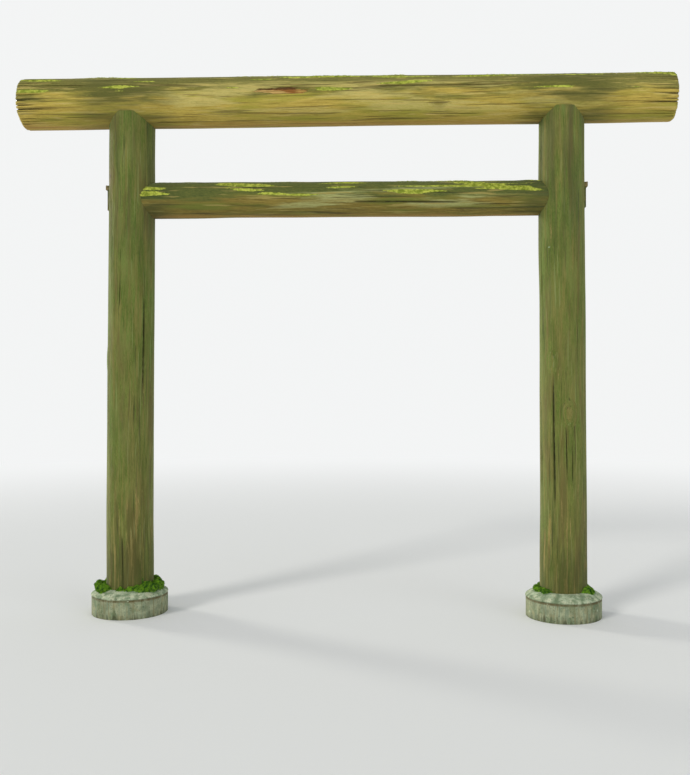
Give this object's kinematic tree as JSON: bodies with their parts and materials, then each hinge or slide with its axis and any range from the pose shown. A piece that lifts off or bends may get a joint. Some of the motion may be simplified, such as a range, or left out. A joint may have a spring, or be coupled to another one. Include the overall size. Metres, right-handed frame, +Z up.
{
  "type": "log torii gate",
  "caption": "Plain log torii gate: two round pillars in round concrete footings, a scribed tie beam and a saddled top lintel.",
  "frame": {"origin": "on the ground, midway between the two pillars", "axes": "+X along the beams towards the lintel's tip end, +Y through the gate from its front to the side that the pegs are driven from, +Z up"},
  "size_m": [3.45, 0.4, 2.855],
  "materials": {
    "pillar_log": "unpainted weathered log with a green film of algae and worn tan streaks",
    "tie_log": "unpainted weathered log, dark and mossy above, ochre below",
    "lintel_log": "unpainted weathered log, grey-brown and mossy above, tan below",
    "riven_wood": "rough split hardwood, weathered",
    "mortar": "floated mortar with lichen and moss",
    "concrete": "cast concrete with form marks and algae"
  },
  "bodies": {
    "root": {"left_pillar": "pillar_log", "right_pillar": "pillar_log", "tie_beam": "tie_log", "top_lintel": "lintel_log", "left_tie_wedge": "riven_wood", "right_tie_wedge": "riven_wood", "left_lintel_peg": "riven_wood", "right_lintel_peg": "riven_wood", "left_mortar_collar": "mortar", "right_mortar_collar": "mortar", "left_footing_drum": "concrete", "right_footing_drum": "concrete"}
  },
  "joints": []
}
